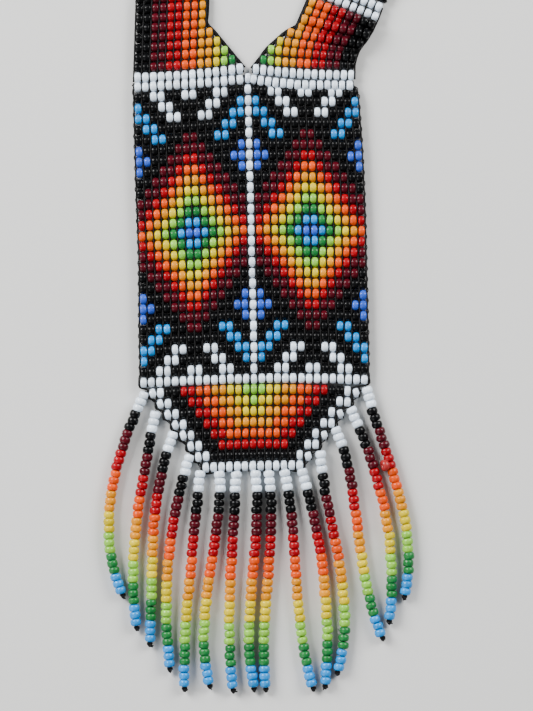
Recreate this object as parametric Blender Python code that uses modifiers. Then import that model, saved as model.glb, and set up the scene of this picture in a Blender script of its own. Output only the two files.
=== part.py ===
"""A loom-woven seed-bead necklace: a rectangular pendant with tapered rows and a
beaded fringe below it, two woven straps that form the neck loop, and a bead-and-loop
clasp. It lies flat on z = 0 with +Y towards the neck; x = y = 0 is the pendant's middle.

Every woven area is a closed slab of the weave's outline, as thick as its beads. Each
hinge lies along the middle of a row of beads, where the threads let the weave fold.
"""
import math

import bpy
from mathutils import Matrix, Vector

# Driving dimensions, in millimetres and degrees
COLUMN_PITCH = 1.59          # along a row, bead to bead
ROW_PITCH = 2.16             # from row to row in the pendant
WEAVE_THICKNESS = 2.0        # a bead's diameter
ROW_REACH = 0.92             # from a row's middle to the edge of its slab
EDGE_ROUND = 0.85            # how far the slabs' edges are rounded

PANEL_ROWS = 29
PANEL_COLUMNS = 29
TAPER_ROWS = 8
TAPER_PITCH = 2.215
TAPER_START = -29.77         # a row's pitch below it is the first tapered row
TAPER_REACH = 0.8            # from a tapered row's middle to the slab's edge
TAPER_LEAN = 0.085           # how far left each tapered row lies from the one above
TAPER_SHIFT = 0.1            # how far left they all lie
TAPER_EDGE = 0.35            # from an end bead's middle to the slab's edge
TAPER_DROPS = (0.41, 0.99)   # how far the first tapered row's left and right ends hang
ROOF_TOP = (1.35, 1.9)       # how far the left and right ends of the top row hang
ROOF_BOTTOM = (0.35, 0.75)   # the same for the bottom row
BOTTOM_LIFT = 0.12           # how much the bottom row lies above its even place
PINCH = 0.06                 # how much the right half is drawn in at the top

YOKE_COLUMNS = 14
STRAP_COLUMNS = 9
LEFT_YOKE_START = (-22.2, 31.5)
LEFT_YOKE_STEP = (0.11, 1.97)
LEFT_YOKE_TILT = 4.0
LEFT_YOKE_ROWS = 9
RIGHT_YOKE_START = (20.9, 31.2)
RIGHT_YOKE_TILT = -5.0
# each further row of the right yoke: step along the outer edge, its direction right of +Y, tilt
RIGHT_YOKE_STEPS = [
    (1.95, 2, -5), (1.6, 15, -7), (1.6, 22, -8), (1.4, 35, -11), (1.15, 40, -13),
    (1.15, 32, -15), (1.15, 32, -19), (1.15, 26, -22), (1.8, 26, -24), (2.1, 22, -24),
]

STRAP_TIGHT_PITCH = 1.95     # rows touching
STRAP_OPEN_PITCH = 1.98      # rows on a straight run
STRAP_SEGMENTS = 4
STRAP_REACH = 0.84           # from a segment's end row's middle to the segment's edge
# runs of a strap: rows, then degrees turned, outwards positive
LEFT_STRAP_RUNS = [(20, 39), (16, 0), (72, -140)]
RIGHT_STRAP_RUNS = [(20, 39), (12, 0), (72, -140)]

STRAND_DIAMETER = 1.94
STRAND_BORE = 0.86
STRAND_SIDES = 8
THREAD_DIAMETER = 0.26
KNOT_DIAMETER = 0.9
# each strand: the place of its first bead's middle, the length from there to its end, and
# its direction right of straight down along it, as the first angle, the change by the end
# and the extra bend
STRANDS = [
    (-22.5, -32.8, 41.5, -26, 15, 33), (-20.3, -36.8, 43.0, -12, -4, 23),
    (-16.8, -41.0, 42.2, -22, 50, -32), (-13.6, -45.7, 42.7, -19, 26, -2),
    (-11.5, -49.0, 43.1, -6, -9, 15), (-7.5, -49.15, 42.6, 1, -55, 67),
    (-4.2, -49.3, 43.2, -3, -13, 22), (-0.4, -49.25, 43.1, 3, -49, 56),
    (2.4, -49.25, 43.2, 6, -47, 46), (5.6, -49.15, 43.6, 11, -39, 44),
    (9.2, -49.1, 43.3, 15, -19, -2), (12.9, -45.6, 44.2, 4, 38, -59),
    (16.2, -40.8, 42.7, 21, -61, 62), (19.4, -36.9, 43.4, 23, -22, -9),
    (22.6, -32.9, 42.5, 14, 25, -52),
]
STRAND_START = 0.4           # how far a strand reaches above its first bead's middle
STRAND_ROUND = 0.35          # how far its ends are rounded

BUTTON_DIAMETER = 5.0
BUTTON_STALK = 6.5
STALK_DIAMETER = 1.9
LOOP_EYE = 7.0
LOOP_TUBE = 1.9
BUNDLE_DIAMETER = 0.8
CLEARANCE = 0.3

MM = 0.001
MID = WEAVE_THICKNESS / 2
COLLECTION_NAME = "beaded_necklace"

COLOURS = {
    "woven_panel": (0.02, 0.02, 0.025),
    "tapered_rows": (0.85, 0.55, 0.05),
    "yoke": (0.9, 0.25, 0.02),
    "strap": (0.5, 0.02, 0.03),
    "strand": (0.75, 0.76, 0.8),
    "thread": (0.01, 0.01, 0.01),
    "clasp": (0.1, 0.4, 0.7),
}


def clear_scene():
    for old in list(bpy.data.objects):
        bpy.data.objects.remove(old, do_unlink=True)


def material(kind, roughness):
    name = kind + "_finish"
    found = bpy.data.materials.get(name)
    if found:
        return found
    made = bpy.data.materials.new(name)
    made.use_nodes = True
    shader = made.node_tree.nodes["Principled BSDF"]
    shader.inputs["Base Color"].default_value = (*COLOURS[kind], 1)
    shader.inputs["Roughness"].default_value = roughness
    shader.inputs["Metallic"].default_value = 0.0
    return made


def add_object(name, data, kind, roughness=0.25):
    piece = bpy.data.objects.new(name, data)
    piece.data.materials.append(material(kind, roughness))
    parts.objects.link(piece)
    return piece


def direction(right_of_up):
    """Unit vector in the plane, an angle in degrees to the right of +Y."""
    angle = math.radians(right_of_up)
    return Vector((math.sin(angle), math.cos(angle)))


# ---- where the rows lie ----------------------------------------------------------

def panel_half_width():
    return (PANEL_COLUMNS - 1) / 2 * COLUMN_PITCH


def panel_y(row):
    return ((PANEL_ROWS + 1) / 2 - row) * ROW_PITCH


def panel_place(x, y):
    """Where the hand-tensioned panel holds a point of the even grid."""
    top = panel_y(1)
    along = (y + top) / (2 * top)
    side = 1 if x > 0 else 0
    roof = ROOF_BOTTOM[side] + (ROOF_TOP[side] - ROOF_BOTTOM[side]) * along
    lift = BOTTOM_LIFT * (1 - along)
    if x > 0 and y > 0:
        x *= 1 - PINCH * (y / top) ** 2
    return Vector((x, y + lift - roof * abs(x) / panel_half_width()))


def yoke_rows(side):
    """The outermost bead and the tilt of each row of a yoke."""
    rows = []
    if side == "left":
        for row in range(LEFT_YOKE_ROWS):
            start = Vector(LEFT_YOKE_START) + row * Vector(LEFT_YOKE_STEP)
            rows.append((start, LEFT_YOKE_TILT - 0.5 * max(0, row - 4)))
    else:
        place = Vector(RIGHT_YOKE_START)
        rows.append((place.copy(), RIGHT_YOKE_TILT))
        for step, lean, tilt in RIGHT_YOKE_STEPS:
            place = place + step * direction(lean)
            rows.append((place.copy(), tilt))
    return rows


def inward(side, tilt):
    """Unit vector along a row, from its outer bead to its inner one."""
    angle = math.radians(tilt)
    along = Vector((math.cos(angle), math.sin(angle)))
    return along if side == "left" else -along


def strap_rows(side):
    """The middle and the tilt of each row of a strap, above its yoke."""
    outer, tilt = yoke_rows(side)[-1]
    middle = outer + inward(side, tilt) * COLUMN_PITCH * (STRAP_COLUMNS - 1) / 2
    outwards = 1 if side == "left" else -1
    half_width = COLUMN_PITCH * STRAP_COLUMNS / 2
    rows = []
    for count, turned in LEFT_STRAP_RUNS if side == "left" else RIGHT_STRAP_RUNS:
        turn = outwards * turned / count
        open_pitch = STRAP_TIGHT_PITCH + abs(math.radians(turn)) * half_width
        pitch = max(STRAP_OPEN_PITCH, open_pitch)
        for _ in range(count):
            middle = middle + pitch * direction(-tilt - turn / 2)
            tilt += turn
            rows.append((middle.copy(), tilt))
    return rows


def strap_segment_rows(side, segment):
    rows = strap_rows(side)
    count = len(rows) // STRAP_SEGMENTS
    return rows[segment * count:(segment + 1) * count]


def strand_route(strand, steps):
    """Points along a strand's middle line, from its first bead to its last."""
    x, y, length, first, change, bend = STRANDS[strand]
    points = [Vector((x, y))]
    step = length / steps
    for index in range(steps):
        part = (index + 0.5) / steps
        lean = math.radians(first + change * part + bend * part * part)
        points.append(points[-1] + step * Vector((math.sin(lean), -math.cos(lean))))
    return points


# ---- solids ----------------------------------------------------------------------

def slab(name, outline, kind):
    """A flat slab of weave with rounded edges, from its outline in millimetres."""
    curve = bpy.data.curves.new(name, "CURVE")
    curve.dimensions = "2D"
    curve.fill_mode = "BOTH"
    curve.extrude = MID * MM
    spline = curve.splines.new("POLY")
    spline.points.add(len(outline) - 1)
    for point, place in zip(spline.points, outline):
        point.co = (place[0] * MM, place[1] * MM, 0, 1)
    spline.use_cyclic_u = True
    piece = add_object(name, curve, kind)
    piece.location = (0, 0, MID * MM)
    weld = piece.modifiers.new("join_caps", "WELD")
    weld.merge_threshold = 0.00001
    rounding = piece.modifiers.new("round_edges", "BEVEL")
    rounding.width = EDGE_ROUND * MM
    rounding.segments = 3
    rounding.limit_method = "ANGLE"
    rounding.angle_limit = math.radians(60)
    return piece


def tube(name, points, radii, kind):
    """A thin tube through 3-D points in millimetres."""
    curve = bpy.data.curves.new(name, "CURVE")
    curve.dimensions = "3D"
    curve.bevel_depth = MM
    curve.bevel_resolution = 2
    curve.use_fill_caps = True
    spline = curve.splines.new("POLY")
    spline.points.add(len(points) - 1)
    for point, place, radius in zip(spline.points, points, radii):
        point.co = (place[0] * MM, place[1] * MM, place[2] * MM, 1)
        point.radius = radius
    return add_object(name, curve, kind, 0.7)


def turned(name, profile, closed, kind, steps=12):
    """A solid turned about Z from (radius, height) points in millimetres."""
    mesh = bpy.data.meshes.new(name)
    corners = [(radius * MM, 0, height * MM) for radius, height in profile]
    edges = [(index, index + 1) for index in range(len(corners) - 1)]
    if closed:
        edges.append((len(corners) - 1, 0))
    mesh.from_pydata(corners, edges, [])
    piece = add_object(name, mesh, kind)
    screw = piece.modifiers.new("turn", "SCREW")
    screw.axis = "Z"
    screw.steps = steps
    screw.render_steps = steps
    screw.use_merge_vertices = True
    screw.merge_threshold = 0.00001
    screw.use_normal_calculate = True
    return piece


def applied(piece):
    """The same piece with its modifiers made into its mesh."""
    bpy.context.view_layer.update()
    evaluated = piece.evaluated_get(bpy.context.evaluated_depsgraph_get())
    mesh = bpy.data.meshes.new_from_object(evaluated)
    old = piece.data
    piece.modifiers.clear()
    piece.data = mesh
    bpy.data.meshes.remove(old)
    return piece


# ---- pieces ----------------------------------------------------------------------

def build_panel():
    half = panel_half_width() + COLUMN_PITCH / 2
    top = panel_y(1) + ROW_REACH
    bottom = -top
    outline = [panel_place(-half, bottom), panel_place(0, bottom), panel_place(half, bottom)]
    outline += [panel_place(half, panel_y(row)) for row in (15, 9, 5)]
    outline += [panel_place(half, top), panel_place(0, top), panel_place(-half, top)]
    slab("woven_panel", outline, "woven_panel")


def taper_y(row):
    return TAPER_START - TAPER_PITCH * row


def taper_corner(row, side):
    """The slab's corner beside a tapered row; side is -1 for the left."""
    half = (PANEL_COLUMNS - 2 * row - 1) / 2 * COLUMN_PITCH + TAPER_EDGE
    return Vector((side * half - TAPER_SHIFT - TAPER_LEAN * row, taper_y(row)))


def build_taper():
    up = Vector((0, TAPER_REACH))
    left_drop, right_drop = (Vector((0, drop)) for drop in TAPER_DROPS)
    left, right = taper_corner(1, -1) - left_drop, taper_corner(1, 1) - right_drop
    low_left, low_right = taper_corner(TAPER_ROWS, -1), taper_corner(TAPER_ROWS, 1)
    outline = [low_left - up, low_right - up, low_right, right, right + up]
    outline += [Vector((0, taper_y(1))) + up, left + up, left, low_left]
    slab("tapered_rows", outline, "tapered_rows")


def yoke_edge(side, row, across, forward=0.0):
    """A point of a yoke's row, counted in columns from its outermost bead."""
    outer, tilt = yoke_rows(side)[row]
    return outer + inward(side, tilt) * COLUMN_PITCH * across + direction(-tilt) * forward


def yoke_columns(row):
    return max(YOKE_COLUMNS - row, STRAP_COLUMNS)


def build_yoke(side):
    last = len(yoke_rows(side)) - 1
    outer_rows = [(0, -ROW_REACH), (4, 0), (last, ROW_REACH)]
    inner_rows = [(last, ROW_REACH), (5, 0), (0, 0), (0, -ROW_REACH)]
    outline = [yoke_edge(side, row, -0.5, forward) for row, forward in outer_rows]
    outline += [yoke_edge(side, row, yoke_columns(row) - 0.5, ahead) for row, ahead in inner_rows]
    slab(side + "_yoke", outline, "yoke")


def build_warp_bundle(side):
    """The ends of the dropped warps, laid together along the yoke's stepped inner edge."""
    last = len(yoke_rows(side)) - 1
    beside = (BUNDLE_DIAMETER / 2 + CLEARANCE) / COLUMN_PITCH
    diagonal = beside + 0.15
    places = [yoke_edge(side, row, yoke_columns(row) - 0.5 + diagonal) for row in (1, 3, 5)]
    places.append(yoke_edge(side, last, yoke_columns(last) - 0.5 + beside, 0.5))
    points = [(place.x, place.y, MID) for place in places]
    tube(side + "_warp_bundle", points, [BUNDLE_DIAMETER / 2] * len(points), "thread")


def build_strap(side, segment):
    rows = strap_segment_rows(side, segment)
    half = COLUMN_PITCH * STRAP_COLUMNS / 2
    last = len(rows) - 1
    picked = [0, 5, 10, 15, 20, last]
    reach = {0: -STRAP_REACH, last: STRAP_REACH}
    outline = []
    for edge, order in ((-half, picked), (half, reversed(picked))):
        for row in order:
            middle, tilt = rows[row]
            along = Vector((math.cos(math.radians(tilt)), math.sin(math.radians(tilt))))
            outline.append(middle + edge * along + reach.get(row, 0) * direction(-tilt))
    slab(f"{side}_strap_{segment + 1}", outline, "strap")


def build_strand(strand):
    """A column of beads with the thread's bore through it, bent along its route."""
    radius = STRAND_DIAMETER / 2
    bore = STRAND_BORE / 2
    length = STRANDS[strand][2]
    cap = STRAND_ROUND
    steps = 7
    levels = [index * length / steps for index in range(1, steps)]
    outside = [(radius - cap, -STRAND_START), (radius, cap - STRAND_START)]
    outside += [(radius, level) for level in levels]
    outside += [(radius, length - cap), (radius - cap, length)]
    inside = [(bore, length)] + [(bore, level) for level in reversed(levels)]
    profile = outside + inside + [(bore, -STRAND_START)]
    name = f"fringe_strand_{strand + 1:02d}"
    piece = applied(turned(name, profile, True, "strand", STRAND_SIDES))
    fine = 60
    route = strand_route(strand, fine)
    for vertex in piece.data.vertices:
        along = min(max(vertex.co.z / MM / length, 0), 1) * fine
        index = min(int(along), fine - 1)
        ahead = (route[index + 1] - route[index]).normalized()
        beyond = vertex.co.z / MM - index * length / fine
        place = route[index] + ahead * beyond
        aside = Vector((-ahead.y, ahead.x)) * vertex.co.x / MM
        height = MID + vertex.co.y / MM
        vertex.co = ((place.x + aside.x) * MM, (place.y + aside.y) * MM, height * MM)
    return piece


def build_thread(strand):
    """The strand's thread, through the bore to a knot below the last bead."""
    thread = THREAD_DIAMETER / 2
    knot = KNOT_DIAMETER / 2
    route = strand_route(strand, 7)
    ahead = (route[-1] - route[-2]).normalized()
    tail = [(0.25, thread), (0.55, knot), (1.05, knot), (1.3, thread), (2.3, thread)]
    points = [(place.x, place.y, MID) for place in route[:-1]]
    radii = [thread] * len(points)
    for beyond, radius in tail:
        place = route[-1] + ahead * beyond
        points.append((place.x, place.y, MID))
        radii.append(radius)
    tube(f"fringe_thread_{strand + 1:02d}", points, radii, "thread")


def strap_end(side):
    """The middle of a strap's last row and the direction it points in."""
    middle, tilt = strap_rows(side)[-1]
    return middle, direction(-tilt)


def build_button():
    """A glass bead on a short stalk: the clasp's button, at the left strap's end."""
    radius = BUTTON_DIAMETER / 2
    stalk = STALK_DIAMETER / 2
    start = ROW_REACH + CLEARANCE
    centre = start + BUTTON_STALK + radius
    meeting = math.asin(stalk / radius)
    profile = [(0, centre + radius)]
    for index in range(1, 8):
        angle = (math.pi - meeting) * index / 7
        profile.append((radius * math.sin(angle), centre + radius * math.cos(angle)))
    profile += [(stalk, start + 0.3), (stalk * 0.6, start), (0, start)]
    piece = turned("clasp_button", profile, False, "clasp")
    middle, ahead = strap_end("left")
    rise = (radius - MID) / centre
    heading = Vector((ahead.x, ahead.y, rise)).normalized()
    turn = heading.to_track_quat("Z", "Y").to_matrix().to_4x4()
    piece.matrix_world = Matrix.Translation(Vector((middle.x, middle.y, MID)) * MM) @ turn


def build_loop():
    """The loop that the button goes through, at the right strap's end."""
    middle, ahead = strap_end("right")
    ring = (LOOP_EYE + LOOP_TUBE) / 2
    centre = middle + ahead * (ROW_REACH + CLEARANCE + LOOP_TUBE / 2 + ring)
    bpy.ops.mesh.primitive_torus_add(
        major_radius=ring * MM, minor_radius=LOOP_TUBE / 2 * MM,
        major_segments=20, minor_segments=8, location=(centre.x * MM, centre.y * MM, MID * MM))
    made = bpy.context.object
    mesh = made.data
    place = made.matrix_world.copy()
    bpy.data.objects.remove(made)
    piece = add_object("clasp_loop", mesh, "clasp")
    piece.matrix_world = place


clear_scene()
parts = bpy.data.collections.new(COLLECTION_NAME)
bpy.context.scene.collection.children.link(parts)

build_panel()
build_taper()
for side in ("left", "right"):
    build_yoke(side)
    build_warp_bundle(side)
    for segment in range(STRAP_SEGMENTS):
        build_strap(side, segment)
for strand in range(len(STRANDS)):
    build_strand(strand)
    build_thread(strand)
build_button()
build_loop()
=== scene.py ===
"""The looks of the woven seed-bead necklace: every bead and thread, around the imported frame.

The layout repeats the driving dimensions and the row rules that the frame's solids are made
from. Millimetres here; the meshes are written in metres.
"""

import math
import random

import bpy
import numpy as np
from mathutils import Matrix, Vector


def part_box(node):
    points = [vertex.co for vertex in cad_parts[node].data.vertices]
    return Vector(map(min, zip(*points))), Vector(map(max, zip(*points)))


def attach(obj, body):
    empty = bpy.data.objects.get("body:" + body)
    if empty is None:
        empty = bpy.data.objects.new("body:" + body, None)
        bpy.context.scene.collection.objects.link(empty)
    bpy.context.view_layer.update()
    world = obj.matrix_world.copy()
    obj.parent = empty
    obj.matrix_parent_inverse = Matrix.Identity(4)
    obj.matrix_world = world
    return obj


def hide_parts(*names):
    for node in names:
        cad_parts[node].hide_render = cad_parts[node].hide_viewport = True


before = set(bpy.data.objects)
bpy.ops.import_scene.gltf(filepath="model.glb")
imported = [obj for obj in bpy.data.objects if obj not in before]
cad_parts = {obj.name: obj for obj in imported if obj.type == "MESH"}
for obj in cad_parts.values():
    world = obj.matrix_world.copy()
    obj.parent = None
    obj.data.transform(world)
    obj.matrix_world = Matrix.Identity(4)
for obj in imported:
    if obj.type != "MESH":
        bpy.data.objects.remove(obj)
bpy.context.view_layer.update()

MM = 0.001
rng = random.Random(20)

# ---- driving dimensions, as in the frame -------------------------------------------

COLUMN_PITCH = 1.59
ROW_PITCH = 2.16
PANEL_ROWS = 29
PANEL_COLUMNS = 29
MIDDLE_COLUMN = 15
TAPER_PITCH = 2.215
TAPER_START = -29.9
TAPER_LEAN = 0.085            # how far left each tapered row lies from the one above
TAPER_SHIFT = 0.1
TAPER_TIGHTNESS = 0.99        # the tapered rows' column pitch as a share of the pendant's
TAPER_DROPS = (0.45, 1.1)     # how far the tapered rows' left and right ends would hang at full width
MID = 1.0                     # height of the strap and fringe beads' middles
YOKE_COLUMNS = 14
YOKE_SAG = (0.45, 0.6)        # how far the first row's middle sags, and the share left in each next
STRAP_COLUMNS = 9
LEFT_YOKE_START = (-22.2, 31.3)
LEFT_YOKE_STEP = (0.11, 1.97)
LEFT_YOKE_TILT = 4.0
LEFT_YOKE_EASING = 0.5        # degrees less tilt in each row from the sixth
LEFT_YOKE_ROWS = 9
RIGHT_YOKE_START = (20.9, 30.9)
RIGHT_YOKE_TILT = -5.0
RIGHT_YOKE_PITCHES = (1.48, 0.03, 1.6)    # the first column pitch, what a row adds, the most
# each further row of the right yoke: step along the outer edge, its direction right of +Y, tilt
RIGHT_YOKE_STEPS = [
    (1.95, 2, -5), (1.6, 15, -7), (1.6, 22, -8), (1.4, 35, -11), (1.15, 40, -13),
    (1.15, 32, -15), (1.15, 32, -19), (1.15, 26, -22), (1.8, 26, -24), (2.1, 22, -24),
]
STRAP_TIGHT_PITCH = 1.95
STRAP_OPEN_PITCH = 1.98
STRAP_SEGMENTS = 4
# runs of a strap: rows, then degrees turned, outwards positive
LEFT_STRAP_RUNS = [(20, 39), (16, 0), (72, -140)]
RIGHT_STRAP_RUNS = [(20, 39), (12, 0), (72, -140)]
STRAND_BEADS = 30
# each strand: the place of its first bead's middle, the length from there to its end, and
# its direction right of straight down along it, as the first angle, the change by the end
# and the extra bend
STRANDS = [
    (-22.5, -32.8, 41.5, -26, 15, 33), (-20.3, -36.8, 43.0, -12, -4, 23),
    (-16.8, -41.0, 42.2, -22, 50, -32), (-13.6, -45.7, 42.7, -19, 26, -2),
    (-11.5, -49.0, 43.1, -6, -9, 15), (-7.5, -49.15, 42.6, 1, -55, 67),
    (-4.2, -49.3, 43.2, -3, -13, 22), (-0.3, -49.25, 43.1, 5, -51, 56),
    (2.4, -49.25, 43.2, 6, -47, 46), (5.6, -49.15, 43.6, 11, -39, 44),
    (9.2, -49.1, 43.3, 15, -19, -2), (12.9, -45.6, 44.2, 4, 38, -59),
    (16.2, -40.8, 42.7, 21, -61, 62), (19.4, -36.9, 43.4, 23, -22, -9),
    (22.6, -32.9, 42.5, 14, 25, -52),
]

# ---- looks of the weave ------------------------------------------------------------

BEAD_SIDES = 16
PANEL_BEAD = 2.08             # bead diameter in the pendant
STRAP_BEAD = 1.93
FRINGE_BEAD = 2.22
FRINGE_LIFT = 0.22            # how high the fringe beads' middles lie above the strap beads'
LOOM_BEAD_LENGTH = 1.31
FRINGE_BEAD_LENGTH = 1.46
LOOM_HOLE = 0.36              # hole radius as a share of the bead's radius
FRINGE_HOLE = 0.22
WARP_DIAMETER = 0.32
PANEL_WARPS = (1.70, 0.40)    # heights of the upper and lower warp beside each column
STRAP_WARPS = (1.58, 0.44)
WARP_WAVE = (0.1, 0.08)       # how far an upper warp rises between rows and dips beside beads
STRAP_WARP_REACH = 0.75       # past the middles of a segment's first and last rows
WEFT_DIAMETER = 0.2
WEFT_HEIGHT = 1.05            # in the pendant and the tapered rows
WEFT_BULGE = (0.10, 0.17)     # how far outside the last warp a weft turns round it, and the swing
WEFT_RISE = 0.30
THREAD_DIAMETER = 0.24
STEP_THREAD_DIAMETER = 0.4
BUNDLE_THREADS = 7
BUNDLE_RADIUS = 0.31
BUNDLE_TURN = 9.0             # length of a whole turn of the bundle
KNOT_SIZE = 0.135
KNOT_THREAD = 0.504
TAIL_THREAD = 0.312
TABLE_GAP = 0.05              # under the pendant's beads
PANEL_LIFTS = (0.45, 0.15)    # how much higher the middle column stands at the top and bottom
ROOF_LEFT = (0.85, 0.5)       # how far the rows' left ends hang: halfway up, and the change
ROOF_RIGHT = (0.82, 0.05)
PULL_DOWN = (1.12, 0.35, 0)   # how much further the first rows' right ends are pulled down
PULL_IN = 0.45                # and towards the middle
ROOF_POWER = (1.2, 0.6)       # how the ends' hang grows with distance from the middle column:
                              # its power halfway up, and the change
MIDDLE_PEAK = 0.05            # how much the middle column sinks below its neighbours at the bottom
PINCH = 0.045                 # how much the right half is drawn in at the top
WAIST = 0.25                  # how much the left half is drawn in at the waist's row
WAIST_ROW = 17
WAIST_REACH = 5
LOW_ROWS = 27                 # from here each row lies a little further left
LOW_ROW_SHIFT = 0.07

# how unevenly hand work lies
BEAD_DIAMETERS = (0.965, 1.03)
BEAD_LENGTHS = (0.93, 1.05)
BEAD_LEAN = 0.035
BEAD_OVAL = 0.02
BEAD_SHADE = (0.5, 0.2)       # the middle and the spread
PLACE_SPREAD = (0.02, 0.03)   # in the pendant, along a row and along a column
HEIGHT_SPREAD = 0.02
FRINGE_SPREAD = 0.05          # to either side of the strand
FRINGE_ZIGZAG = 0.035
FRINGE_RISE = 0.04
FRINGE_LEAN = 0.07
LEFT_END_TURNS = (6, 16)      # degrees that the tapered rows' end beads are turned
RIGHT_END_TURNS = (16, 24)

# each glass: its slot, its colour and its shine
COLOURS = {
    "K": ("bead_black", (0.0022, 0.0023, 0.0026), 0.13),
    "W": ("bead_white", (0.66, 0.75, 0.85), 0.8),
    "M": ("bead_maroon", (0.054, 0.002, 0.006), 0.2),
    "R": ("bead_red", (0.245, 0.0, 0.0045), 0.22),
    "O": ("bead_orange", (0.57, 0.052, 0.0), 0.2),
    "A": ("bead_amber", (0.55, 0.20, 0.0), 0.2),
    "Y": ("bead_yellow", (0.52, 0.40, 0.0), 0.2),
    "L": ("bead_light_green", (0.19, 0.44, 0.035), 0.35),
    "G": ("bead_green", (0.011, 0.132, 0.030), 0.22),
    "S": ("bead_sky", (0.001, 0.20, 0.54), 0.4),
    "P": ("bead_periwinkle", (0.025, 0.080, 0.46), 0.3),
    "T": ("bead_pale_red", (0.34, 0.022, 0.022), 0.3),
}
LETTERS = list(COLOURS)

RINGS = "PSGLYAORMM"          # the pendant's diamonds, from their middle outwards
WHITE_MARKS = {2: (3, 4, 7, 8, 11, 12), 3: (4, 5, 10, 11), 4: (5, 6, 9, 10)}
SKY_MARKS = {3: (1, 14), 4: (1, 2, 13, 14), 5: (2, 3, 12, 13), 6: (3, 4, 11, 12)}
PERIWINKLE_MARKS = {7: (1, 14), 8: (1, 2, 13, 14), 9: (1, 14)}
TAPER_PATTERN = [
    "WWKKRROOAAYYLLLYYAAOORRKKWW", "WWKKRROOAAYYLYYAAOORRKKWW", "WWKKRROOAAYYYAAOORRKKWW",
    "WWKKRROOAAAAAOORRKKWW", "WWKKRROOOOOOORRKKWW", "WWKKRRRRRRRRRKKWW", "WWKKKKKKKKKKKWW",
    "WWWWWWWWWWWWW",
]
STRIPES = "KKMMRROOAAYLG"     # across a strap, from its outer edge
STRAP_DIAMOND = "PSGLYAORM"
STRAP_REPEAT = 35             # rows: the diamond's 17, white 2, stripes 14, white 2
FRINGE_ORDER = "WKMROAYLGS"   # three beads of each, from the top


# ---- materials ---------------------------------------------------------------------

def new_material(name):
    made = bpy.data.materials.new(name)
    made.use_nodes = True
    tree = made.node_tree
    return made, tree, tree.nodes["Principled BSDF"]


def node(tree, kind, **values):
    made = tree.nodes.new(kind)
    for name, value in values.items():
        if hasattr(made, name):
            setattr(made, name, value)
        else:
            made.inputs[name.replace("_", " ")].default_value = value
    return made


def ranged(tree, source, low, high, from_low=0.0, from_high=1.0):
    """The source spread over low to high."""
    made = tree.nodes.new("ShaderNodeMapRange")
    made.inputs["From Min"].default_value = from_low
    made.inputs["From Max"].default_value = from_high
    made.inputs["To Min"].default_value = low
    made.inputs["To Max"].default_value = high
    tree.links.new(source, made.inputs["Value"])
    return made.outputs["Result"]


def bead_material(name, colour, shine):
    """Opaque glass: each bead a little lighter or darker, faint streaks, tiny pits."""
    made, tree, shader = new_material(name)
    shade = node(tree, "ShaderNodeAttribute", attribute_name="bead_shade")
    place = node(tree, "ShaderNodeTexCoord")
    streak = node(tree, "ShaderNodeTexNoise", Scale=900.0, Detail=3.0, Roughness=0.6)
    tree.links.new(place.outputs["Object"], streak.inputs["Vector"])
    tone = node(tree, "ShaderNodeMath", operation="MULTIPLY")
    tree.links.new(ranged(tree, shade.outputs["Fac"], 0.80, 1.16), tone.inputs[0])
    tree.links.new(ranged(tree, streak.outputs["Fac"], 0.90, 1.10, 0.3, 0.7), tone.inputs[1])
    tint = node(tree, "ShaderNodeVectorMath", operation="SCALE")
    tint.inputs[0].default_value = colour
    tree.links.new(tone.outputs[0], tint.inputs["Scale"])
    tree.links.new(tint.outputs[0], shader.inputs["Base Color"])
    gloss = node(tree, "ShaderNodeTexNoise", Scale=2600.0, Detail=2.0)
    tree.links.new(place.outputs["Object"], gloss.inputs["Vector"])
    tree.links.new(ranged(tree, gloss.outputs["Fac"], 0.17, 0.30, 0.3, 0.7), shader.inputs["Roughness"])
    bump = node(tree, "ShaderNodeBump", Strength=0.16, Distance=0.00006)
    tree.links.new(gloss.outputs["Fac"], bump.inputs["Height"])
    tree.links.new(bump.outputs["Normal"], shader.inputs["Normal"])
    shader.inputs["IOR"].default_value = 1.5
    shader.inputs["Specular IOR Level"].default_value = shine
    return made


def thread_material():
    """Waxed black beading thread with fine fibres."""
    made, tree, shader = new_material("thread_black")
    place = node(tree, "ShaderNodeTexCoord")
    fibre = node(tree, "ShaderNodeTexNoise", Scale=6000.0, Detail=4.0, Roughness=0.7)
    tree.links.new(place.outputs["Object"], fibre.inputs["Vector"])
    ramp = node(tree, "ShaderNodeValToRGB")
    ramp.color_ramp.elements[0].position = 0.35
    ramp.color_ramp.elements[0].color = (0.002, 0.002, 0.0025, 1)
    ramp.color_ramp.elements[1].position = 0.7
    ramp.color_ramp.elements[1].color = (0.010, 0.010, 0.010, 1)
    tree.links.new(fibre.outputs["Fac"], ramp.inputs["Fac"])
    tree.links.new(ramp.outputs["Color"], shader.inputs["Base Color"])
    tree.links.new(ranged(tree, fibre.outputs["Fac"], 0.45, 0.75, 0.3, 0.7), shader.inputs["Roughness"])
    shader.inputs["Specular IOR Level"].default_value = 0.12
    bump = node(tree, "ShaderNodeBump", Strength=0.5, Distance=0.00004)
    tree.links.new(fibre.outputs["Fac"], bump.inputs["Height"])
    tree.links.new(bump.outputs["Normal"], shader.inputs["Normal"])
    return made


def floor_material():
    made, _, shader = new_material("pale_floor")
    shader.inputs["Base Color"].default_value = (0.58, 0.578, 0.565, 1)
    shader.inputs["Roughness"].default_value = 0.8
    return made


bead_materials = [bead_material(*COLOURS[letter]) for letter in LETTERS]
thread = thread_material()


# ---- mesh building -----------------------------------------------------------------

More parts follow.
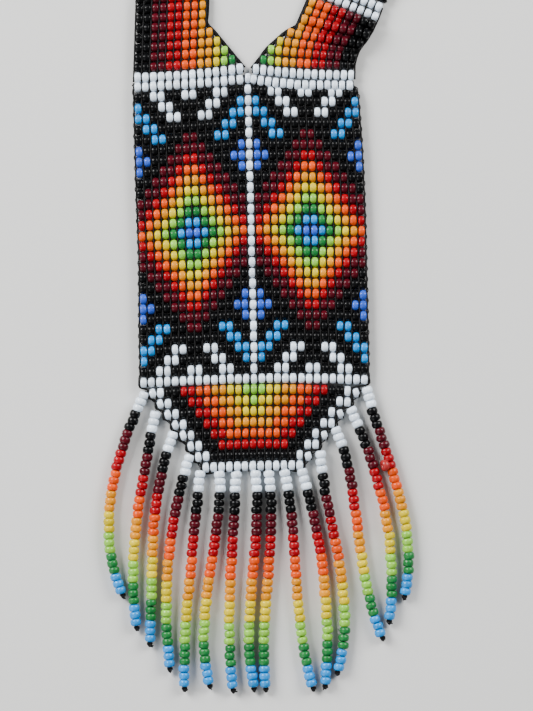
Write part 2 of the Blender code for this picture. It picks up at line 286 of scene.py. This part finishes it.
def mesh_object(name, points, faces, materials, face_material=None, shade=None):
    """An object from points in millimetres and arrays of faces, each with its own side count."""
    mesh = bpy.data.meshes.new(name)
    mesh.vertices.add(len(points))
    mesh.vertices.foreach_set("co", (np.asarray(points) * MM).astype(np.float32).ravel())
    corners = np.concatenate([part.ravel() for part in faces])
    sides = np.concatenate([np.full(len(part), part.shape[1]) for part in faces])
    mesh.loops.add(len(corners))
    mesh.loops.foreach_set("vertex_index", corners.astype(np.int32))
    mesh.polygons.add(len(sides))
    starts = np.concatenate([[0], np.cumsum(sides)[:-1]])
    mesh.polygons.foreach_set("loop_start", starts.astype(np.int32))
    mesh.polygons.foreach_set("use_smooth", np.ones(len(sides), bool))
    for material in materials:
        mesh.materials.append(material)
    if face_material is not None:
        mesh.polygons.foreach_set("material_index", face_material.astype(np.int32))
    if shade is not None:
        attribute = mesh.attributes.new("bead_shade", "FLOAT", "POINT")
        attribute.data.foreach_set("value", shade.astype(np.float32))
    mesh.update(calc_edges=True)
    mesh.validate()
    piece = bpy.data.objects.new(name, mesh)
    bpy.context.scene.collection.objects.link(piece)
    return piece


def bead_section(roundness, hole, points=12):
    """The closed section of a bead's wall, as (along, outwards) shares of half length and radius."""
    middle = (1 + hole) / 2
    wall = (1 - hole) / 2
    section = []
    for index in range(points):
        angle = 2 * math.pi * index / points
        power = 2 / roundness
        along = math.copysign(abs(math.cos(angle)) ** power, math.cos(angle))
        outwards = math.copysign(abs(math.sin(angle)) ** power, math.sin(angle))
        section.append((along, middle + wall * outwards))
    return np.array(section)


class Beads:
    """A pile of beads that becomes one piece."""

    def __init__(self, roundness=2.5, hole=LOOM_HOLE):
        self.section = bead_section(roundness, hole)
        self.items = []

    def add(self, centre, axis, diameter, length, letter):
        diameter *= rng.uniform(*BEAD_DIAMETERS)
        length *= rng.uniform(*BEAD_LENGTHS)
        lean = [rng.gauss(0, BEAD_LEAN) for _ in range(3)]
        axis = (Vector(axis).normalized() + Vector(lean)).normalized()
        self.items.append((Vector(centre), axis, diameter, length, letter, rng.gauss(*BEAD_SHADE)))

    def build(self, name, body, *nodes):
        sides = BEAD_SIDES
        count = len(self.section)
        turn = np.arange(sides) * 2 * math.pi / sides
        around = np.arange(sides)
        along = np.arange(count)
        first, second = np.meshgrid(along, around, indexing="ij")
        after, beside = (first + 1) % count, (second + 1) % sides
        quads = np.stack([first * sides + second, first * sides + beside,
                          after * sides + beside, after * sides + second], -1).reshape(-1, 4)
        points, faces, which, shades = [], [], [], []
        letters = sorted({item[4] for item in self.items}, key=LETTERS.index)
        for index, (centre, axis, diameter, length, letter, shade) in enumerate(self.items):
            up = Vector((0, 0, 1)) if abs(axis.z) < 0.8 else Vector((1, 0, 0))
            across = axis.cross(up).normalized()
            lift = across.cross(axis)
            oval = 1 + rng.uniform(-BEAD_OVAL, BEAD_OVAL) * np.cos(2 * turn + rng.uniform(0, math.pi))
            ring = np.cos(turn)[:, None] * np.array(across) + np.sin(turn)[:, None] * np.array(lift)
            ring *= oval[:, None] * diameter / 2
            bead = np.array(centre) + self.section[:, 0, None, None] * np.array(axis) * length / 2
            bead = bead + self.section[:, 1, None, None] * ring[None, :, :]
            points.append(bead.reshape(-1, 3))
            faces.append(quads + index * sides * count)
            which.append(np.full(len(quads), letters.index(letter)))
            shades.append(np.full(sides * count, shade))
        materials = [bead_materials[LETTERS.index(letter)] for letter in letters]
        piece = mesh_object(name, np.concatenate(points), [np.concatenate(faces)], materials,
                            np.concatenate(which), np.concatenate(shades))
        finish(piece, body, nodes)
        return piece


def finish(piece, body, nodes):
    """The piece rides on its body and stands in for its solids."""
    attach(piece, body)
    if nodes:
        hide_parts(*nodes)


class Threads:
    """Thin tubes that become one piece."""

    def __init__(self, sides=6):
        self.sides = sides
        self.points = []
        self.quads = []
        self.caps = []
        self.total = 0

    def add(self, route, diameter):
        """A tube along points in millimetres."""
        route = np.asarray(route, float)
        ahead = np.gradient(route, axis=0)
        ahead /= np.linalg.norm(ahead, axis=1)[:, None]
        side = np.cross(ahead[0], (0, 0, 1.0))
        if np.linalg.norm(side) < 0.1:
            side = np.cross(ahead[0], (1.0, 0, 0))
        turn = np.arange(self.sides) * 2 * math.pi / self.sides
        for place, direction in zip(route, ahead):
            side = side - direction * side.dot(direction)
            side /= np.linalg.norm(side)
            lift = np.cross(direction, side)
            ring = np.cos(turn)[:, None] * side + np.sin(turn)[:, None] * lift
            self.points.append(place + ring * diameter / 2)
        first = self.total
        sides = self.sides
        for step in range(len(route) - 1):
            low = first + step * sides
            for index in range(sides):
                after = (index + 1) % sides
                self.quads.append((low + index, low + sides + index, low + sides + after, low + after))
        last = first + (len(route) - 1) * sides
        self.caps.append(tuple(range(first, first + sides)))
        self.caps.append(tuple(reversed(range(last, last + sides))))
        self.total = last + sides

    def build(self, name, body, *nodes):
        piece = mesh_object(name, np.concatenate(self.points),
                            [np.array(self.quads), np.array(self.caps)], [thread])
        finish(piece, body, nodes)
        return piece


# ---- where the rows lie ------------------------------------------------------------

def direction(right_of_up):
    angle = math.radians(right_of_up)
    return Vector((math.sin(angle), math.cos(angle)))


HALF_WIDTH = (PANEL_COLUMNS - 1) / 2 * COLUMN_PITCH
PANEL_TOP = (PANEL_ROWS - 1) / 2 * ROW_PITCH


def panel_place(column, row):
    """The middle of a place in the pendant's grid, as the hand-tensioned weave holds it.
    Columns count from the middle one, rows from 1 at the top."""
    x = column * COLUMN_PITCH
    y = ((PANEL_ROWS + 1) / 2 - row) * ROW_PITCH
    height = y / PANEL_TOP
    share = abs(x) / HALF_WIDTH
    middle, change = ROOF_RIGHT if x > 0 else ROOF_LEFT
    drop = (middle + change * height) * share ** (ROOF_POWER[0] - ROOF_POWER[1] * height)
    drop -= MIDDLE_PEAK * (1 - height) * min(1, abs(column))
    lift = PANEL_LIFTS[0] * height ** 2 if height > 0 else -PANEL_LIFTS[1] * height
    if x > 0:
        near = min(1, 2 * share) ** 0.8
        drop += float(np.interp(row, (1, 2, 3), PULL_DOWN)) * near
        inwards = PULL_IN * (0.8 + 0.8 * share) * min(1, x) * max(0, min(1, 2 - row))
        x = x * (1 - PINCH * max(0, height) ** 2) - inwards
    else:
        x += WAIST * min(1, 3 * share) * math.exp(-((row - WAIST_ROW) / WAIST_REACH) ** 2)
    return Vector((x - LOW_ROW_SHIFT * max(0, row - LOW_ROWS), y + lift - drop))


def taper_place(column, row):
    """The middle of a place in the tapered rows. Rows count from 1; the last ones hang less."""
    x = column * COLUMN_PITCH * TAPER_TIGHTNESS
    y = TAPER_START - TAPER_PITCH * row
    left, right = TAPER_DROPS
    deepest = right * min(1, (8.5 - row) / 2) if x > 0 else left
    drop = deepest * (abs(x) / HALF_WIDTH) ** 1.6
    return Vector((x - TAPER_SHIFT - TAPER_LEAN * row, y - drop))


def yoke_rows(side):
    """The outermost bead and the tilt of each row of a yoke."""
    rows = []
    if side == "left":
        for row in range(LEFT_YOKE_ROWS):
            start = Vector(LEFT_YOKE_START) + row * Vector(LEFT_YOKE_STEP)
            rows.append((start, LEFT_YOKE_TILT - LEFT_YOKE_EASING * max(0, row - 4)))
    else:
        place = Vector(RIGHT_YOKE_START)
        rows.append((place.copy(), RIGHT_YOKE_TILT))
        for step, lean, tilt in RIGHT_YOKE_STEPS:
            place = place + step * direction(lean)
            rows.append((place.copy(), tilt))
    return rows


def yoke_pitch(side, row):
    """The column pitch in a yoke's row; the right one is squeezed at its start."""
    if side == "left":
        return COLUMN_PITCH
    start, growth, most = RIGHT_YOKE_PITCHES
    return min(most, start + growth * max(0, row - 1))


def inward(side, tilt):
    """The direction along a tilted row towards the neck opening."""
    angle = math.radians(tilt)
    along = Vector((math.cos(angle), math.sin(angle)))
    return along if side == "left" else -along


def yoke_columns(row):
    return max(YOKE_COLUMNS - row, STRAP_COLUMNS)


def yoke_place(side, row, across):
    """A bead's middle in a yoke, counted from its outermost bead."""
    outer, tilt = yoke_rows(side)[row]
    place = outer + inward(side, tilt) * yoke_pitch(side, row) * across
    share = min(1, abs(place.x) / HALF_WIDTH)
    sag = YOKE_SAG[0] * math.sin(math.pi * share) * YOKE_SAG[1] ** row
    return place - Vector((0, sag))


def strap_rows(side):
    """The middle and the tilt of each row of a strap, above its yoke."""
    outer, tilt = yoke_rows(side)[-1]
    middle = outer + inward(side, tilt) * COLUMN_PITCH * (STRAP_COLUMNS - 1) / 2
    outwards = 1 if side == "left" else -1
    half_width = COLUMN_PITCH * STRAP_COLUMNS / 2
    rows = []
    for count, degrees in LEFT_STRAP_RUNS if side == "left" else RIGHT_STRAP_RUNS:
        turn = outwards * degrees / count
        open_pitch = STRAP_TIGHT_PITCH + abs(math.radians(turn)) * half_width
        pitch = max(STRAP_OPEN_PITCH, open_pitch)
        for _ in range(count):
            middle = middle + pitch * direction(-tilt - turn / 2)
            tilt += turn
            rows.append((middle.copy(), tilt))
    return rows


def raised(place, height):
    """A flat place, or one with a height of its own, at this height."""
    return Vector((place.x, place.y, height))


def scatter(across, along):
    """A small random step."""
    return Vector((rng.gauss(0, across), rng.gauss(0, along)))


# ---- patterns ----------------------------------------------------------------------

def panel_letter(column, row):
    """The pendant's pattern; columns and rows count from 1."""
    near_column = min(column, PANEL_COLUMNS + 1 - column)
    near_row = min(row, PANEL_ROWS + 1 - row)
    if near_column == MIDDLE_COLUMN or near_row == 1 or near_column in WHITE_MARKS.get(near_row, ()):
        return "W"
    if near_column in SKY_MARKS.get(near_row, ()):
        return "S"
    if near_column in PERIWINKLE_MARKS.get(near_row, ()):
        return "P"
    ring = int(max(0, abs(near_column - 7.5) - 0.5)) + 15 - near_row
    return RINGS[ring] if ring < len(RINGS) else "K"


def strap_letter(row, column):
    """The straps' repeat: diamonds on black, white bars, stripes. Columns count from outside."""
    row = row % STRAP_REPEAT
    if row < 17:
        ring = abs(column - 4) + abs(row - 8)
        return STRAP_DIAMOND[ring] if ring < len(STRAP_DIAMOND) else "K"
    if row < 19 or row > 32:
        return "W"
    return STRIPES[column]


# ---- the pendant -------------------------------------------------------------------

def build_panel():
    piles = {"white": Beads(), "black": Beads(), "coloured": Beads()}
    for row in range(1, PANEL_ROWS + 1):
        for column in range(1, PANEL_COLUMNS + 1):
            letter = panel_letter(column, row)
            across = column - MIDDLE_COLUMN
            place = panel_place(across, row)
            beside = panel_place(across + 0.5, row) - panel_place(across - 0.5, row)
            kind = {"W": "white", "K": "black"}.get(letter, "coloured")
            place += scatter(*PLACE_SPREAD)
            length = LOOM_BEAD_LENGTH * min(1, beside.length / COLUMN_PITCH * 1.01)
            diameter = PANEL_BEAD * (0.97 if letter == "K" else 1)
            height = PANEL_BEAD / 2 + TABLE_GAP + abs(rng.gauss(0, HEIGHT_SPREAD))
            if row == 1 and across > 0:
                height += 0.35 * min(1, across / 4)      # pushed up by the right yoke
            piles[kind].add(raised(place, height), raised(beside, 0), diameter, length, letter)
    for kind, pile in piles.items():
        pile.build(f"panel_{kind}_beads", "pendant", "woven_panel")
    warps = Threads()
    for gap in range(PANEL_COLUMNS + 1):
        for height in PANEL_WARPS:
            route = []
            for step in range((PANEL_ROWS - 1) * 2 + 3):
                row = min(max(0.62, 0.5 + step / 2), PANEL_ROWS + 0.4)
                place = panel_place(gap - MIDDLE_COLUMN + 0.5, row)
                sway = 0.05 * math.sin(math.pi * row + gap * math.pi)
                route.append((place.x + sway, place.y, height + warp_wave(step, height)))
            warps.add(route, WARP_DIAMETER)
    warps.build("panel_warps", "pendant")
    edges = Threads()
    for side in (-1, 1):
        column = side * PANEL_COLUMNS / 2
        ends = [raised(panel_place(column, row), WEFT_HEIGHT) for row in range(1, PANEL_ROWS + 1)]
        wrap_edge(edges, ends, side)
    edges.build("panel_edge_threads", "pendant")


def warp_wave(step, height):
    """How an upper or lower warp leaves its height, between rows and on them."""
    rise = WARP_WAVE[0] if step % 2 == 0 else -WARP_WAVE[1]
    return rise if height > MID else -rise


def wrap_edge(threads, ends, side):
    """The weft turning round the edge warp from each row to the next."""
    route = []
    for index, end in enumerate(ends):
        ahead = ends[min(index + 1, len(ends) - 1)] - ends[max(index - 1, 0)]
        outside = Vector((ahead.y, -ahead.x, 0)).normalized() * (side if ahead.y > 0 else -side)
        for part in range(8):
            turn = 2 * math.pi * part / 8
            bulge = WEFT_BULGE[0] + WEFT_BULGE[1] * math.cos(turn)
            step = ahead * 0.5 * (part / 8 - 0.5)
            place = end + step + outside * bulge
            route.append((place.x, place.y, end.z + WEFT_RISE * math.sin(turn)))
    threads.add(route, WEFT_DIAMETER)


def step_edge(threads, side):
    """The heavier thread that runs down the stepped ends of the tapered rows."""
    corner = panel_place(side * 14.6, PANEL_ROWS)
    line = [raised(corner + Vector((0, 0.5)), 1.0), raised(corner - Vector((side * 0.15, 0.85)), 1.3)]
    for row, pattern in enumerate(TAPER_PATTERN, 1):
        inside = side > 0 and row % 2 == 1
        end = taper_place(side * (len(pattern) / 2 + 0.12 - inside), row)
        line.append(raised(end + Vector((side * 0.05, 0.7)), 1.85 if inside else 1.3))
        line.append(raised(end - Vector((side * 0.05, 0.8)), 1.85 if inside else 1.5))
    for column, drop in ((6.0, 1.2), (5.2, 1.15), (4.5, 0.7)):
        line.append(raised(taper_place(side * column, len(TAPER_PATTERN)) - Vector((0, drop)), 1.2))
    threads.add([tuple(place) for place in resampled(line, 0.3)], STEP_THREAD_DIAMETER)


def turned(along, degrees):
    """A flat direction turned anticlockwise."""
    angle = math.radians(degrees)
    return Vector((along.x * math.cos(angle) - along.y * math.sin(angle),
                   along.x * math.sin(angle) + along.y * math.cos(angle)))


def build_taper():
    pile = Beads()
    for row, pattern in enumerate(TAPER_PATTERN, 1):
        half = (len(pattern) - 1) / 2
        for index, letter in enumerate(pattern):
            column = index - half
            place = taper_place(column, row) + scatter(*PLACE_SPREAD)
            beside = taper_place(column + 0.5, row) - taper_place(column - 0.5, row)
            height = PANEL_BEAD / 2 + TABLE_GAP + abs(rng.gauss(0, HEIGHT_SPREAD))
            if index == 0:
                beside = turned(beside, rng.uniform(*LEFT_END_TURNS))
            if index == len(pattern) - 1 and row % 2:
                beside = turned(beside, rng.uniform(*RIGHT_END_TURNS))
                place += Vector((0.1, -0.15))
            pile.add(raised(place, height), raised(beside, 0), PANEL_BEAD, LOOM_BEAD_LENGTH, letter)
    pile.build("tapered_beads", "point", "tapered_rows")
    warps = Threads()
    rows = len(TAPER_PATTERN)
    for gap in range(-14, 14):
        column = gap + 0.5
        last = max(row for row in range(1, rows + 1) if abs(column) <= len(TAPER_PATTERN[row - 1]) / 2)
        for height in PANEL_WARPS:
            route = []
            for step in range(last * 2 + 1):
                place = taper_place(column, max(0.62, 0.5 + step / 2))
                route.append((place.x, place.y, height + warp_wave(step, height)))
            warps.add(route, WARP_DIAMETER)
    for side in (-1, 1):
        ends = []
        for row in range(1, rows + 1):
            ends.append(raised(taper_place(side * len(TAPER_PATTERN[row - 1]) / 2, row), WEFT_HEIGHT))
        wrap_edge(warps, ends, side)
        step_edge(warps, side)
    warps.build("tapered_threads", "point")


# ---- yokes and straps --------------------------------------------------------------

def build_yoke(side):
    pile = Beads()
    rows = yoke_rows(side)
    before = {}
    for row in range(len(rows)):
        for across in range(yoke_columns(row)):
            place = yoke_place(side, row, across)
            gap = (place - before[across]).length if across in before else STRAP_BEAD
            before[across] = place
            lift = math.sqrt(max(0, (STRAP_BEAD - 0.1) ** 2 - gap ** 2)) if row % 2 == 0 else 0
            letter = "W" if row == 0 or row > 8 else STRIPES[across]
            beside = inward(side, rows[row][1])
            length = LOOM_BEAD_LENGTH * yoke_pitch(side, row) / COLUMN_PITCH
            diameter = PANEL_BEAD if row == 0 else STRAP_BEAD
            pile.add(raised(place, MID + 0.03 + lift), raised(beside, 0), diameter, length, letter)
    pile.build(side + "_yoke_beads", side + "_yoke", side + "_yoke")
    warps = Threads()
    for gap in range(YOKE_COLUMNS + 1):
        last = max(row for row in range(len(rows)) if gap <= yoke_columns(row))
        for height in STRAP_WARPS:
            first, second = (yoke_place(side, row, gap - 0.5) for row in (0, 1))
            start = first + 0.42 * (first - second)
            route = [(start.x, start.y, height)]
            for step in range(last * 2 + 1):
                low = yoke_place(side, step // 2, gap - 0.5)
                high = yoke_place(side, min(step // 2 + 1, last), gap - 0.5)
                place = low.lerp(high, step % 2 / 2)
                route.append((place.x, place.y, height))
            warps.add(route, WARP_DIAMETER)
    warps.build(side + "_yoke_warps", side + "_yoke")
    bundle = Threads()
    base = []
    for row in range(len(rows)):
        place = yoke_place(side, row, yoke_columns(row) - 0.5 + 0.08)
        base.append(raised(place, MID))
    twisted(bundle, base, BUNDLE_THREADS, BUNDLE_RADIUS, BUNDLE_TURN)
    bundle.build(side + "_warp_bundle_threads", side + "_yoke", side + "_warp_bundle")


def twisted(threads, base, count, spread, turn_length):
    """Several thin threads laid round each other along a base line."""
    spacing = 0.6
    fine = resampled(base, spacing)
    for index in range(count):
        route = []
        for step, place in enumerate(fine):
            angle = 2 * math.pi * (index / count + step * spacing / turn_length)
            ahead = fine[min(step + 1, len(fine) - 1)] - fine[max(step - 1, 0)]
            outside = Vector((ahead.y, -ahead.x, 0)).normalized()
            above = Vector((0, 0, spread * math.sin(angle)))
            route.append(place + outside * spread * math.cos(angle) + above)
        threads.add([tuple(place) for place in route], THREAD_DIAMETER)


def resampled(base, spacing):
    """Points at even spacing along a line, rounded between its points."""
    spots = [Vector(place) for place in base]
    fine = []
    for index in range(len(spots) - 1):
        before = spots[max(index - 1, 0)]
        low, high = spots[index], spots[index + 1]
        after = spots[min(index + 2, len(spots) - 1)]
        steps = max(2, int((high - low).length / spacing))
        for step in range(steps):
            part = step / steps
            fine.append(0.5 * (2 * low + (high - before) * part
                               + (2 * before - 5 * low + 4 * high - after) * part ** 2
                               + (3 * low - before - 3 * high + after) * part ** 3))
    fine.append(spots[-1])
    return fine


def strap_place(rows, row, column):
    """A place across a strap's row; columns count from the middle one."""
    middle, tilt = rows[row]
    angle = math.radians(tilt)
    return middle + Vector((math.cos(angle), math.sin(angle))) * column * COLUMN_PITCH


def build_strap(side, segment):
    rows = strap_rows(side)
    count = len(rows) // STRAP_SEGMENTS
    first = segment * count
    last = first + count - 1
    offset = -2 if side == "left" else 0      # where the pattern's repeat starts
    name = f"{side}_strap_{segment + 1}"
    pile = Beads()
    outer = -1 if side == "left" else 1
    for row in range(first, last + 1):
        angle = math.radians(rows[row][1])
        along = Vector((math.cos(angle), math.sin(angle), 0))
        for index in range(STRAP_COLUMNS):
            column = outer * (4 - index)
            place = strap_place(rows, row, column) + scatter(PLACE_SPREAD[0], PLACE_SPREAD[0])
            letter = strap_letter(row + offset, index)
            pile.add(raised(place, MID + 0.02), along, STRAP_BEAD, LOOM_BEAD_LENGTH, letter)
    pile.build(name + "_beads", name, name)
    warps = Threads()
    before = -direction(-rows[first][1]) * STRAP_WARP_REACH
    after = direction(-rows[last][1]) * STRAP_WARP_REACH
    for gap in range(STRAP_COLUMNS + 1):
        column = gap - STRAP_COLUMNS / 2
        for height in STRAP_WARPS:
            places = [strap_place(rows, row, column) for row in range(first, last + 1)]
            places = [places[0] + before] + places + [places[-1] + after]
            warps.add([(place.x, place.y, height) for place in places], WARP_DIAMETER)
    for edge in (-1, 1):
        column = edge * (STRAP_COLUMNS / 2 + 0.02)
        ends = [raised(strap_place(rows, row, column), MID) for row in range(first, last + 1)]
        wrap_edge(warps, ends, edge)
    warps.build(name + "_threads", name)


# ---- fringe ------------------------------------------------------------------------

def strand_route(strand, steps=60):
    """Even points from the strand's first bead's middle to its end."""
    x, y, length, first, change, bend = STRANDS[strand]
    points = [Vector((x, y))]
    step = length / steps
    for index in range(steps):
        part = (index + 0.5) / steps
        lean = math.radians(first + change * part + bend * part * part)
        points.append(points[-1] + step * Vector((math.sin(lean), -math.cos(lean))))
    return points


def along_route(route, distance):
    """The place at a distance along a strand, and the direction there."""
    steps = len(route) - 1
    spacing = (route[1] - route[0]).length
    index = min(max(int(distance / spacing), 0), steps - 1)
    ahead = (route[index + 1] - route[index]).normalized()
    return route[index] + ahead * (distance - index * spacing), ahead


def build_strand(strand):
    route = strand_route(strand)
    length = STRANDS[strand][2]
    body = f"strand_{strand + 1:02d}"
    pile = Beads(2.15, FRINGE_HOLE)
    pitch = length / (STRAND_BEADS - 0.5)
    for index in range(STRAND_BEADS):
        place, ahead = along_route(route, index * pitch)
        left = Vector((-ahead.y, ahead.x))
        aside = left * (rng.gauss(0, FRINGE_SPREAD) + FRINGE_ZIGZAG * (-1) ** index)
        letter = FRINGE_ORDER[index // 3]
        height = MID + FRINGE_LIFT + rng.uniform(0, FRINGE_RISE)
        tilted = ahead + left * rng.gauss(0, FRINGE_LEAN)
        centre = raised(place + aside, height)
        pile.add(centre, raised(tilted, 0), FRINGE_BEAD, FRINGE_BEAD_LENGTH, letter)
    if strand == len(STRANDS) - 1:
        add_stray(pile, route, pitch)
    pile.build(f"fringe_beads_{strand + 1:02d}", body, f"fringe_strand_{strand + 1:02d}")
    threads = Threads()
    spots = [along_route(route, distance)[0] for distance in np.linspace(-0.9, length + 0.3, 24)]
    threads.add([(place.x, place.y, MID) for place in spots], THREAD_DIAMETER)
    tip, ahead = along_route(route, length + 0.5)
    add_knot(threads, raised(tip, MID), ahead)
    threads.build(f"fringe_knot_{strand + 1:02d}", body, f"fringe_thread_{strand + 1:02d}")


def add_stray(pile, route, pitch):
    """The paler bead that sits sideways against the last strand's third red bead."""
    neighbour = 11
    place = along_route(route, neighbour * pitch)[0] + Vector((-1.15, -0.02))
    axis = (0.96, 0.2, -0.28)
    diameter, length = 2.45, 1.5
    pile.add(raised(place, MID + 0.55), axis, diameter, length, "T")


def add_knot(threads, centre, ahead):
    """An overhand knot with two short tails."""
    turn = rng.uniform(0, math.pi)
    loop = []
    for index in range(37):
        angle = 2 * math.pi * index / 36 + turn
        x = math.sin(angle) + 2 * math.sin(2 * angle)
        y = math.cos(angle) - 2 * math.cos(2 * angle)
        z = -1.2 * math.sin(3 * angle)
        loop.append(tuple(centre + KNOT_SIZE * Vector((x, y, z))))
    threads.add(loop, KNOT_THREAD)
    for _ in range(2):
        lean = math.atan2(ahead.x, -ahead.y) + rng.uniform(-0.9, 0.9)
        length = rng.uniform(0.45, 0.85)
        tail = []
        for part in (0, 0.35, 0.7, 1):
            bend = lean + 0.5 * part
            out = length * part
            step = Vector((math.sin(bend) * out, -math.cos(bend) * out, -0.4 * part))
            tail.append(tuple(centre + step))
        threads.add(tail, TAIL_THREAD)


# ---- clasp -------------------------------------------------------------------------

CLASP_ROUNDNESS = 2.4
LOOP_BEADS = 19
LOOP_BEAD = (1.86, 1.34)      # diameter and length
LOOP_WIDTH = 1.9              # across the ring of the loop
STALK_BEAD = (1.85, 1.38)
STALK_START = 1.22 + 0.75     # from the last row's middle to the first stalk bead's
STALK_PITCH = 1.5
STALK_RISE = 1.5 / 10.2       # height gained for each unit along
BUTTON_BEAD = (4.9, 4.1)
BUTTON_ROUNDNESS = 2.1
BUTTON_REACH = 10.0           # from the last row's middle to the button's
BUTTON_SHADE = 0.6


def on_circle(centre, radius, angle):
    return centre + Vector((math.cos(angle), math.sin(angle), 0)) * radius


def build_loop():
    low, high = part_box("clasp_loop")
    centre = (low + high) / 2 / MM
    ring = ((high - low).x / MM - LOOP_WIDTH) / 2
    pile = Beads(CLASP_ROUNDNESS)
    for index in range(LOOP_BEADS):
        angle = 2 * math.pi * index / LOOP_BEADS
        along = Vector((-math.sin(angle), math.cos(angle), 0))
        pile.add(on_circle(centre, ring, angle), along, *LOOP_BEAD, "WKK"[index % 3])
    pile.build("clasp_loop_beads", "loop", "clasp_loop")
    threads = Threads()
    circle = [on_circle(centre, ring, angle) for angle in np.linspace(0, 2 * math.pi, 40)]
    threads.add([tuple(place) for place in circle], THREAD_DIAMETER)
    threads.build("clasp_loop_thread", "loop")


def build_button():
    """The button bead on its stalk, which climbs from the end of the left strap."""
    middle, tilt = strap_rows("left")[-1]
    ahead = direction(-tilt)
    start = raised(middle, MID)
    heading = Vector((ahead.x, ahead.y, STALK_RISE)).normalized()
    stalk = Beads(CLASP_ROUNDNESS)
    for index in range(4):
        place = start + heading * (STALK_START + STALK_PITCH * index)
        stalk.add(place, heading, *STALK_BEAD, "KWKS"[index])
    stalk.build("clasp_stalk_beads", "button")
    button = Beads(BUTTON_ROUNDNESS)
    button.items.append((start + heading * BUTTON_REACH, heading, *BUTTON_BEAD, "S", BUTTON_SHADE))
    button.build("clasp_button_bead", "button", "clasp_button")


# ---- stage -------------------------------------------------------------------------

def build_stage():
    bpy.ops.mesh.primitive_plane_add(size=6, location=(0, 0, 0))
    floor = bpy.context.object
    floor.name = "floor"
    floor.data.materials.append(floor_material())


# each soft light: its name, its place and size in metres, and its watts
LIGHTS = [
    ("window", (-0.62, 0.5, 0.55), 0.5, 22.5),
    ("second_window", (0.65, 0.5, 0.55), 0.5, 15.5),
    ("side_fill", (-0.7, -0.6, 0.6), 0.8, 6),
]
LIT_PLACE = (0, -0.02, 0)


def build_lights():
    for name, place, size, watts in LIGHTS:
        data = bpy.data.lights.new(name, "AREA")
        data.size = size
        data.energy = watts
        lamp = bpy.data.objects.new(name, data)
        bpy.context.scene.collection.objects.link(lamp)
        lamp.location = place
        lamp.rotation_euler = (Vector(LIT_PLACE) - Vector(place)).to_track_quat("-Z", "Y").to_euler()
    world = bpy.data.worlds.new("soft_world")
    world.use_nodes = True
    background = world.node_tree.nodes["Background"]
    background.inputs["Color"].default_value = (0.95, 0.97, 1.0, 1)
    background.inputs["Strength"].default_value = 0.2
    bpy.context.scene.world = world


VIEW_MIDDLE = (2.5, -25.4)     # what the camera looks straight down on
VIEW_HEIGHT = 143.6            # length of the table that fits the frame's long side
VIEW_ROLL = 1.34               # degrees
CAMERA_DISTANCE = 620.0


def build_camera():
    data = bpy.data.cameras.new("camera")
    data.sensor_fit = "VERTICAL"
    data.angle = 2 * math.atan(VIEW_HEIGHT / 2 / CAMERA_DISTANCE)
    camera = bpy.data.objects.new("camera", data)
    camera.location = (VIEW_MIDDLE[0] * MM, VIEW_MIDDLE[1] * MM, (CAMERA_DISTANCE + MID) * MM)
    camera.rotation_euler = (0, 0, -math.radians(VIEW_ROLL))
    bpy.context.scene.collection.objects.link(camera)
    bpy.context.scene.camera = camera


build_camera()
build_panel()
build_taper()
for side in ("left", "right"):
    build_yoke(side)
    for segment in range(STRAP_SEGMENTS):
        build_strap(side, segment)
for strand in range(len(STRANDS)):
    build_strand(strand)
build_loop()
build_button()
build_stage()
build_lights()
